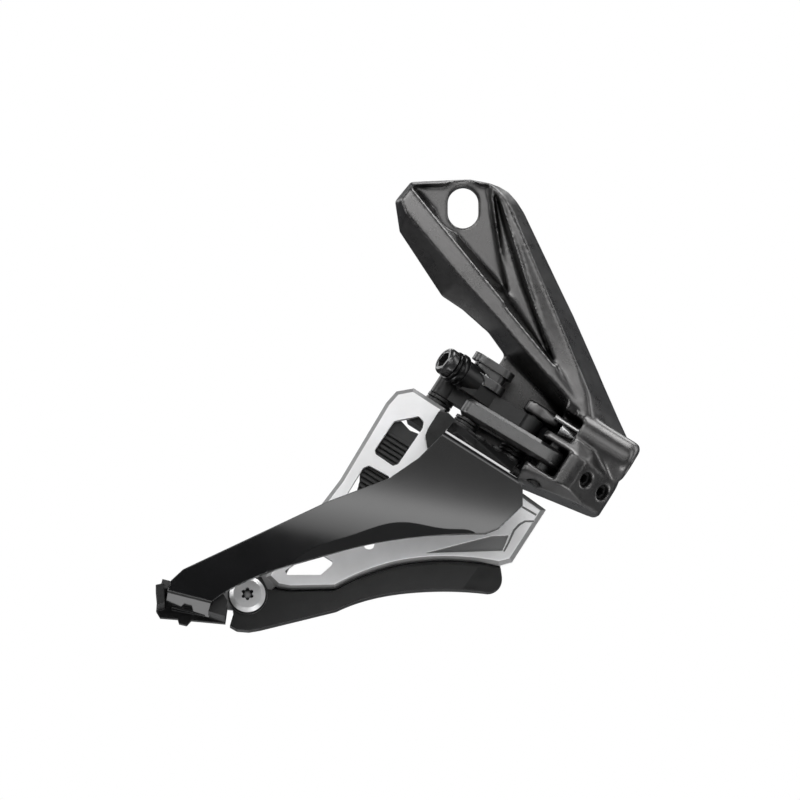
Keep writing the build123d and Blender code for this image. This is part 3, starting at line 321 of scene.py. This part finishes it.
def satin_plate(name):
    """The inner plate's satin silver, darker where its face is recessed or bevelled."""
    t = Tree(name)
    clouds = t.noise(8.0, detail=4.0)
    grain = t.noise(0.3, detail=2.0, roughness=0.6)
    body = t.mix(t.spread(clouds, 0.3, 0.7), rgb(0.80), rgb(0.90, (1.0, 1.0, 1.01)))
    depth = t.add("ShaderNodeSeparateXYZ", {"Vector": t.place}).outputs["Y"]
    recessed = t.spread(depth, RECESS_FROM * MM, RECESS_TO * MM)
    in_front = t.spread(depth, PLATE_BACK_FROM * MM, PLATE_BACK_TO * MM, 1.0, 0.0)
    body = t.mix(t.math("MULTIPLY", recessed, in_front), body, rgb(0.24))
    rubbed = t.worn_edges(0.3, 2.2, 0.3, 0.62, least=0.2, most=0.6)
    t.shade(
        Base_Color=t.mix(rubbed, body, rgb(0.85)),
        Metallic=0.4,
        Roughness=t.spread(clouds, 0.3, 0.7, 0.48, 0.56),
        Normal=t.bump(grain, 0.008, 0.5, edge_mm=0.25),
    )
    return t.material


# the arm's colour carries painted shade in hollows within 9 mm
ARM = blasted_metal(
    "arm_anodised", dark=0.08, light=0.11, metallic=0.9, roughness=0.29, edge=0.5, wear=0.22,
    tint=(1.0, 0.985, 0.98), painted_shade_mm=9.0,
)
LINK_DARK = blasted_metal(
    "link_dark", dark=0.075, light=0.105, metallic=0.88, roughness=0.30, edge=0.4, wear=0.8,
)
LINK_SHADED = blasted_metal(
    "link_shaded", dark=0.010, light=0.02, metallic=0.6, roughness=0.32, edge=0.25, wear=0.5,
)
SILVER = satin_plate("plate_silver")
BRACKET = blasted_metal(
    "bracket_dark", dark=0.018, light=0.032, metallic=0.8, roughness=0.30, edge=0.25, wear=0.55,
)
BLACK_STEEL = brushed_metal(
    "black_steel", dark=0.025, light=0.045, metallic=0.8, roughness=0.33, edge=0.18, along="Z",
)
STEEL = brushed_metal(
    "bright_steel", dark=0.45, light=0.62, metallic=1.0, roughness=0.28, edge=0.12, along="X",
)
BRONZE = brushed_metal(
    "bearing_bronze", dark=0.26, light=0.36, metallic=1.0, roughness=0.35, edge=0.12, along="Z",
    tint=(1.0, 0.78, 0.5),
)
BOLT_BLACK = blackened_steel("bolt_black", level=0.06)
SCREW_SATIN = turned_screw("screw_satin")
COLLAR_BLACK = blackened_steel("collar_black", level=0.016)
BLACK_PLATE = painted_plate("plate_black")
RESIN = moulded_resin("resin_black", level=0.008, roughness=0.38)

LOOKS = {
    "mount_arm": ARM,
    "low_limit_screw": BLACK_STEEL,
    "high_limit_screw": BLACK_STEEL,
    "outer_link": LINK_DARK,
    "outer_link_bushes": BRONZE,
    "inner_link": LINK_SHADED,
    "inner_link_bushes": BRONZE,
    "cable_cam": LINK_DARK,
    "cable_clamp_bolt": BLACK_STEEL,
    "cable_clamp_washer": BLACK_STEEL,
    "front_outer_pin": BLACK_STEEL,
    "front_inner_pin": BLACK_STEEL,
    "rear_outer_pin": BLACK_STEEL,
    "rear_inner_pin": BLACK_STEEL,
    "pivot_washers": BLACK_STEEL,
    "return_spring": BLACK_STEEL,
    "cable_guide_tube": STEEL,
    "guide_screw": STEEL,
    "outer_cage_plate": BLACK_PLATE,
    "inner_cage_plate": SILVER,
    "cage_bracket": BRACKET,
    "flange_rivets": BLACK_STEEL,
    "bracket_screws": STEEL,
    "tail_rivet": STEEL,
    "chain_skid": RESIN,
    "skid_screw": SCREW_SATIN,
    "tail_block": RESIN,
    "ribbed_pad": RESIN,
}


def dress(piece, material):
    """Give every slot of a piece one material."""
    if not piece.material_slots:
        piece.data.materials.append(material)
    for slot in piece.material_slots:
        slot.link = "OBJECT"
        slot.material = material


for node, look in LOOKS.items():
    dress(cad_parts[node], look)


# ---------------------------------------------------------------- rounded edges on CAD pieces

FLAT_WITHIN = math.radians(1.0)
ROUND_SHARPER_THAN = math.radians(28)
BEVEL_SEGMENTS = 3

# the radius of each piece's rounded edges, in millimetres
ROUNDED = {
    "outer_link": 0.35,
    "inner_link": 0.3,
    "cable_cam": 0.25,
    "outer_cage_plate": 0.5,
    "inner_cage_plate": 0.2,
    "cage_bracket": 0.3,
    "pivot_washers": 0.12,
    "skid_screw": 0.12,
    "flange_rivets": 0.15,
    "guide_screw": 0.1,
}


def round_edges(piece, width_mm):
    """Bevel modifiers that give a CAD piece's sharp edges a real radius."""
    flat = piece.modifiers.new("flat_faces", "DECIMATE")
    flat.decimate_type = "DISSOLVE"
    flat.angle_limit = FLAT_WITHIN
    bevel = piece.modifiers.new("edge_radius", "BEVEL")
    bevel.width = width_mm * MM
    bevel.segments = BEVEL_SEGMENTS
    bevel.limit_method = "ANGLE"
    bevel.angle_limit = ROUND_SHARPER_THAN
    bevel.use_clamp_overlap = True
    bevel.harden_normals = True
    piece.modifiers.new("even_normals", "WEIGHTED_NORMAL").keep_sharp = True


for node, width in ROUNDED.items():
    round_edges(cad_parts[node], width)


# ---------------------------------------------------------------- the forged arm

FORGING_VOXEL = 0.30
FORGING_SMOOTHING = 12
SMOOTH_FACTOR = 0.5
# edges sharper than these angles in degrees stay sharp
FORGING_SHARP = 52
TURNED_SHARP = 30

# (distance into the arm, radius) points of its turned holes, which begin with a chamfer at the mouth
CASING_BORE = ((-1.0, 3.6), (0.0, 3.0), (0.4, 2.6), (8.0, 2.6), (8.0, 0.72), (31.0, 0.72))
LIMIT_BORE = ((-1.0, 2.8), (0.0, 2.05), (0.35, 1.73), (13.0, 1.73))
PIN_BORE_R = 1.5
GUIDE_STEM_FROM = (48.9, -15.6, -31.7)
GUIDE_STEM_R = 0.5
GUIDE_STEM_LENGTH = 4.6
GUIDE_STEM_STEPS = 24
BORE_STEPS = 48
# (y, growth) sections of the mounting slot, wider at both mouths
SLOT_SECTIONS = ((2.0, 1.6), (0.0, 0.35), (-0.35, 0.0), (-3.15, 0.0), (-3.5, 0.35), (-5.0, 1.85))
SLOT_END_STEPS = 16


def along_linkage(u, y, v):
    """A direction given in the linkage frame, in the row frame."""
    return (TILT @ Vector((u, y, v))).normalized()


def turned_points(profile, start, direction, steps):
    """One circle of points around an axis for each (distance, radius) of a profile in millimetres."""
    turn = direction.to_track_quat("Z", "Y").to_matrix()
    points = []
    for distance, radius in profile:
        for i in range(steps):
            a = 2 * math.pi * i / steps
            at = Vector((math.cos(a) * radius * MM, math.sin(a) * radius * MM, distance * MM))
            points.append(start + turn @ at)
    return points


def lathe(profile, start, direction, steps):
    """Vertices and faces of a closed turned shape from (distance, radius) points in millimetres."""
    verts = [start + direction * (profile[0][0] * MM)]
    verts.extend(turned_points(profile, start, direction, steps))
    last = len(verts)
    verts.append(start + direction * (profile[-1][0] * MM))
    top = 1 + (len(profile) - 1) * steps
    faces = []
    for i in range(steps):
        j = (i + 1) % steps
        faces.append((0, 1 + j, 1 + i))
        for row in range(len(profile) - 1):
            low = 1 + row * steps
            high = low + steps
            faces.append((low + i, low + j, high + j, high + i))
        faces.append((top + i, top + j, last))
    return verts, faces


def ring(profile, start, direction, steps):
    """Vertices and faces of a turned ring whose (distance, radius) profile closes on itself."""
    faces = []
    for row in range(len(profile)):
        low = row * steps
        high = (row + 1) % len(profile) * steps
        for i in range(steps):
            j = (i + 1) % steps
            faces.append((low + i, low + j, high + j, high + i))
    return turned_points(profile, start, direction, steps), faces


def slot_prism(sections, steps):
    """Vertices and faces of a slot-shaped cutter from (y, growth) sections in millimetres."""
    verts = []
    straight = (SLOT_LENGTH - SLOT_WIDTH) / 2 * MM
    for y, grow in sections:
        radius = (SLOT_WIDTH / 2 + grow) * MM
        for side in (1, -1):
            for i in range(steps + 1):
                a = math.pi * i / steps + (0 if side > 0 else math.pi)
                verts.append(Vector((math.cos(a) * radius, y * MM, math.sin(a) * radius + side * straight)))
    count = 2 * (steps + 1)
    faces = [tuple(range(count)), tuple(reversed(range(len(verts) - count, len(verts))))]
    for row in range(len(sections) - 1):
        low = row * count
        for i in range(count):
            j = (i + 1) % count
            faces.append((low + j, low + i, low + count + i, low + count + j))
    return verts, faces


def new_piece(name, verts, faces):
    """A mesh object with outward normals."""
    mesh = bpy.data.meshes.new(name)
    mesh.from_pydata([tuple(v) for v in verts], [], faces)
    piece = bpy.data.objects.new(name, mesh)
    scene.collection.objects.link(piece)
    shape = bmesh.new()
    shape.from_mesh(mesh)
    bmesh.ops.recalc_face_normals(shape, faces=shape.faces)
    shape.to_mesh(mesh)
    shape.free()
    return piece


def bake(piece):
    """Apply a piece's modifiers to its mesh."""
    graph = bpy.context.evaluated_depsgraph_get()
    mesh = bpy.data.meshes.new_from_object(piece.evaluated_get(graph))
    piece.modifiers.clear()
    piece.data = mesh


def smooth(piece, name, iterations):
    """Add a modifier that softens a piece's shape, and return it."""
    soft = piece.modifiers.new(name, "SMOOTH")
    soft.factor = SMOOTH_FACTOR
    soft.iterations = iterations
    return soft


def cut_away(piece, name, cutter):
    """Cut one object's shape out of a piece, apply the piece's modifiers and delete the cutter."""
    cut = piece.modifiers.new(name, "BOOLEAN")
    cut.operation = "DIFFERENCE"
    cut.solver = "EXACT"
    cut.object = cutter
    bake(piece)
    bpy.data.objects.remove(cutter)


def finish_mesh(piece, sharp_degrees, material):
    """Smooth shading that keeps edges sharper than an angle, and one material."""
    for polygon in piece.data.polygons:
        polygon.use_smooth = True
    piece.data.set_sharp_from_angle(angle=math.radians(sharp_degrees))
    piece.data.materials.clear()
    piece.data.materials.append(material)


def arm_cutters():
    """One object with the shapes of all the arm's machined holes."""
    shapes = [lathe(CASING_BORE, from_linkage(*BARREL_MOUTH), along_linkage(-1, 0, 0), BORE_STEPS)]
    into = along_linkage(-LIMIT_NORMAL[0], -LIMIT_NORMAL[1], 0)
    for u, y in LIMIT_HOLES:
        shapes.append(lathe(LIMIT_BORE, from_linkage(u, y, LIMIT_V), into, BORE_STEPS))
    for (u, y), low, high in PIN_BORES:
        bore = ((0, PIN_BORE_R), (high - low, PIN_BORE_R))
        shapes.append(lathe(bore, from_linkage(u, y, low), along_linkage(0, 0, 1), BORE_STEPS))
    bore = ((0, GUIDE_STEM_R), (GUIDE_STEM_LENGTH, GUIDE_STEM_R))
    shapes.append(lathe(bore, from_linkage(*GUIDE_STEM_FROM), along_linkage(1, 0, 0), GUIDE_STEM_STEPS))
    shapes.append(slot_prism(SLOT_SECTIONS, SLOT_END_STEPS))
    verts = []
    faces = []
    for points, sides in shapes:
        base = len(verts)
        verts.extend(points)
        faces.extend([tuple(base + i for i in side) for side in sides])
    return new_piece("arm_cutters", verts, faces)


# regions with larger fillets: a name, the corners of a box in millimetres and the smoothing steps
SOFT_REGIONS = (
    ("soft_scoop", ((5.6, -9.0, -37.0), (24.0, 0.5, 3.0)), 24),
    ("soft_neck", ((18.5, -17.5, -54.0), (44.0, 0.5, -37.0)), 70),
    ("soft_barrel", ((29.5, -20.5, -66.0), (45.0, -1.0, -44.0)), 55),
)
REGION_EDGE = 2.0


def box_weight(point, low, high):
    """1 inside a box, falling to 0 over REGION_EDGE at its sides."""
    inside = [min(point[i] / MM - low[i], high[i] - point[i] / MM) for i in range(3)]
    return max(0.0, min(1.0, min(inside) / REGION_EDGE))


def forged_arm():
    """The arm with the soft fillets of a forging and its holes cut afterwards."""
    arm = bpy.data.objects.new("arm_forging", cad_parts["mount_arm"].data.copy())
    scene.collection.objects.link(arm)
    skin = arm.modifiers.new("even_skin", "REMESH")
    skin.mode = "VOXEL"
    skin.voxel_size = FORGING_VOXEL * MM
    smooth(arm, "fillets", FORGING_SMOOTHING)
    bake(arm)
    for name, (low, high), iterations in SOFT_REGIONS:
        region = arm.vertex_groups.new(name=name)
        for vertex in arm.data.vertices:
            weight = box_weight(vertex.co, low, high)
            if weight > 0:
                region.add([vertex.index], weight, "REPLACE")
        smooth(arm, name, iterations).vertex_group = name
    cut_away(arm, "machining", arm_cutters())
    finish_mesh(arm, FORGING_SHARP, ARM)
    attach(arm, "arm")
    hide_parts("mount_arm")


forged_arm()


# ---------------------------------------------------------------- cable bolt

CLAMP_DIR = (-0.89, -0.455)
CLAMP_ROOT = (20.9, -10.9, -32.1)
# (distance from the root, radius) points of the turned pieces, in millimetres
HEAD_PROFILE = [
    (-3.6, 1.9), (4.0, 1.9), (4.0, 3.0), (4.15, 3.2), (5.5, 3.2), (5.85, 3.1), (6.15, 2.9), (6.4, 2.6),
    (6.4, 2.3), (6.25, 2.1),
]
COLLAR_PROFILE = [
    (3.02, 2.05), (3.02, 3.2), (3.12, 3.42), (3.3, 3.5), (3.6, 3.5), (3.78, 3.42), (3.9, 3.2), (3.9, 2.05),
]
WASHER_PROFILE = [
    (1.05, 2.1), (1.05, 3.3), (1.2, 3.6), (1.5, 3.75), (2.4, 3.75), (2.7, 3.62), (2.9, 3.35), (2.9, 2.1),
]
KEY_R = 2.0
KEY_PROFILE = [(3.6, KEY_R), (8.0, KEY_R)]
KEY_SIDES = 6
TURNED_STEPS = 64


def cable_bolt():
    """The cable bolt's head with its collar and a hexagon socket, and its rounded washer."""
    root = from_linkage(*CLAMP_ROOT)
    outwards = along_linkage(CLAMP_DIR[0], CLAMP_DIR[1], 0)
    bolt = new_piece("clamp_bolt_turned", *lathe(HEAD_PROFILE, root, outwards, TURNED_STEPS))
    key = new_piece("clamp_bolt_key", *lathe(KEY_PROFILE, root, outwards, KEY_SIDES))
    cut_away(bolt, "socket", key)
    collar = new_piece("clamp_bolt_collar", *ring(COLLAR_PROFILE, root, outwards, TURNED_STEPS))
    washer = new_piece("clamp_washer_turned", *ring(WASHER_PROFILE, root, outwards, TURNED_STEPS))
    for piece, node, finish in (
        (bolt, "cable_clamp_bolt", BOLT_BLACK),
        (collar, "cable_clamp_bolt", COLLAR_BLACK),
        (washer, "cable_clamp_washer", COLLAR_BLACK),
    ):
        finish_mesh(piece, TURNED_SHARP, finish)
        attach(piece, "inner_link")
        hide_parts(node)


cable_bolt()


# ---------------------------------------------------------------- floor, light and camera

def area_light(name, at, target, width, height, watts):
    """A soft rectangular light aimed at a point."""
    data = bpy.data.lights.new(name, "AREA")
    data.shape = "RECTANGLE"
    data.size = width
    data.size_y = height
    data.energy = watts
    lamp = bpy.data.objects.new(name, data)
    lamp.location = at
    lamp.rotation_euler = (Vector(target) - Vector(at)).to_track_quat("-Z", "Y").to_euler()
    scene.collection.objects.link(lamp)


def floor_material(name, level):
    """A pale floor with a very faint mottling, which glows white to the camera only."""
    t = Tree(name)
    clouds = t.noise(60.0)
    mottling = t.spread(clouds, 0.3, 0.7)
    t.shade(
        Base_Color=t.mix(mottling, rgb(level), rgb(level * 0.97)),
        Roughness=t.spread(clouds, 0.3, 0.7, 0.75, 0.85),
        Emission_Color=t.mix(mottling, rgb(1.0), rgb(0.98)),
        Emission_Strength=t.add("ShaderNodeLightPath", {}).outputs["Is Camera Ray"],
    )
    return t.material


FLOOR_Z = -0.5
FLOOR_REACH = 3.0
FLOOR_LEVEL = 0.8
FLOOR_CORNERS = ((-1, -1), (1, -1), (1, 1), (-1, 1))
floor_mesh = bpy.data.meshes.new("floor")
floor_points = [(x * FLOOR_REACH, y * FLOOR_REACH, FLOOR_Z) for x, y in FLOOR_CORNERS]
floor_mesh.from_pydata(floor_points, [], [(0, 1, 2, 3)])
floor = bpy.data.objects.new("floor", floor_mesh)
scene.collection.objects.link(floor)
floor.data.materials.append(floor_material("floor_pale", FLOOR_LEVEL))

# the world lights the part faintly and is white to the camera
AMBIENT_COLOUR = (0.9, 0.93, 1.0, 1.0)
AMBIENT_STRENGTH = 0.07
world = bpy.data.worlds.new("studio")
scene.world = world
world.use_nodes = True
sky = world.node_tree
sky.nodes.clear()
sky_out = sky.nodes.new("ShaderNodeOutputWorld")
sky_mix = sky.nodes.new("ShaderNodeMixShader")
sky_path = sky.nodes.new("ShaderNodeLightPath")
ambient = sky.nodes.new("ShaderNodeBackground")
ambient.inputs["Color"].default_value = AMBIENT_COLOUR
ambient.inputs["Strength"].default_value = AMBIENT_STRENGTH
backdrop = sky.nodes.new("ShaderNodeBackground")
backdrop.inputs["Color"].default_value = (1.0, 1.0, 1.0, 1.0)
backdrop.inputs["Strength"].default_value = 1.0
sky.links.new(sky_path.outputs["Is Camera Ray"], sky_mix.inputs["Fac"])
sky.links.new(ambient.outputs["Background"], sky_mix.inputs[1])
sky.links.new(backdrop.outputs["Background"], sky_mix.inputs[2])
sky.links.new(sky_mix.outputs["Shader"], sky_out.inputs["Surface"])
scene.view_settings.view_transform = "Standard"


def softbox(name, foot, width, height, roll, stops):
    """A panel that lights and is reflected but isn't seen, with its brightness set along its height."""
    mesh = bpy.data.meshes.new(name)
    corners = [(-width / 2, 0, 0), (width / 2, 0, 0), (width / 2, 0, height), (-width / 2, 0, height)]
    mesh.from_pydata(corners, [], [(3, 2, 1, 0)])
    panel = bpy.data.objects.new(name, mesh)
    panel.location = foot
    panel.rotation_euler = (0, roll, 0)
    scene.collection.objects.link(panel)
    panel.visible_camera = False
    panel.visible_shadow = False
    glow = bpy.data.materials.new(name)
    glow.use_nodes = True
    tree = glow.node_tree
    tree.nodes.clear()
    place = tree.nodes.new("ShaderNodeTexCoord").outputs["Object"]
    split = tree.nodes.new("ShaderNodeSeparateXYZ")
    tree.links.new(place, split.inputs["Vector"])
    curve = tree.nodes.new("ShaderNodeFloatCurve")
    points = curve.mapping.curves[0].points
    scale = tree.nodes.new("ShaderNodeMath")
    scale.operation = "DIVIDE"
    scale.inputs[1].default_value = height
    tree.links.new(split.outputs["Z"], scale.inputs[0])
    tree.links.new(scale.outputs["Value"], curve.inputs["Value"])
    peak = max(level for _, level in stops)
    for i, (at, level) in enumerate(stops):
        point = points[i] if i < 2 else points.new(at, level / peak)
        point.location = (at, level / peak)
    curve.mapping.update()
    strength = tree.nodes.new("ShaderNodeMath")
    strength.operation = "MULTIPLY"
    strength.inputs[1].default_value = peak
    tree.links.new(curve.outputs["Value"], strength.inputs[0])
    emission = tree.nodes.new("ShaderNodeEmission")
    tree.links.new(strength.outputs["Value"], emission.inputs["Strength"])
    output = tree.nodes.new("ShaderNodeOutputMaterial")
    tree.links.new(emission.outputs["Emission"], output.inputs["Surface"])
    mesh.materials.append(glow)


middle = (cad_low + cad_high) / 2
# name, place, width and height in metres, power in watts
LIGHTS = (
    ("key_top", (-0.16, -0.46, 0.34), 0.40, 0.22, 1.7),
    ("side_left", (-0.50, -0.10, 0.10), 0.10, 0.50, 1.3),
    ("side_right", (0.48, -0.26, 0.03), 0.16, 0.60, 0.9),
    ("right_back", (0.46, 0.16, 0.06), 0.20, 0.60, 1.0),
    ("low_back", (-0.16, 0.42, -0.26), 0.30, 0.10, 0.05),
    ("over_strip", (0.178, -0.04, 0.306), 0.22, 0.12, 0.7),
    ("front_low", (0.10, -0.20, -0.45), 0.40, 0.10, 0.7),
    ("top_back", (0.10, 0.40, 0.45), 0.50, 0.30, 2.0),
    ("left_back", (-0.34, 0.33, 0.20), 0.25, 0.25, 0.5),
)
for lamp_name, place, wide, high, power in LIGHTS:
    area_light(lamp_name, place, middle, wide, high, power)

# (share of the softbox's height from its foot, brightness), which the outer plate reflects
SOFTBOX_STOPS = (
    (0.0, 0.8), (0.012, 1.6), (0.03, 2.3), (0.05, 3.2), (0.062, 3.5), (0.078, 2.3), (0.1, 0.8),
    (0.125, 0.5), (0.28, 0.5), (0.4, 2.1), (0.56, 2.8), (0.64, 1.4), (1.0, 0.8),
)
SOFTBOX_FOOT = (0.010, -0.200, -0.0638)
SOFTBOX_WIDTH = 0.24
SOFTBOX_HEIGHT = 0.16
SOFTBOX_ROLL = math.radians(12)
softbox("front_softbox", SOFTBOX_FOOT, SOFTBOX_WIDTH, SOFTBOX_HEIGHT, SOFTBOX_ROLL, SOFTBOX_STOPS)

VIEW_WIDTH = 0.1778
VIEW_TARGET = Vector((-0.0140, -0.0130, -0.0443))
VIEW_ELEVATION = math.radians(-7.0)
VIEW_DISTANCE = 0.2
VIEW_CLIP = (0.01, 10.0)
camera_data = bpy.data.cameras.new("camera")
camera_data.type = "ORTHO"
camera_data.ortho_scale = VIEW_WIDTH
camera_data.clip_start, camera_data.clip_end = VIEW_CLIP
camera = bpy.data.objects.new("camera", camera_data)
scene.collection.objects.link(camera)
back = Vector((0.0, -math.cos(VIEW_ELEVATION), math.sin(VIEW_ELEVATION)))
camera.location = VIEW_TARGET + back * VIEW_DISTANCE
camera.rotation_euler = (-back).to_track_quat("-Z", "Y").to_euler()
scene.camera = camera
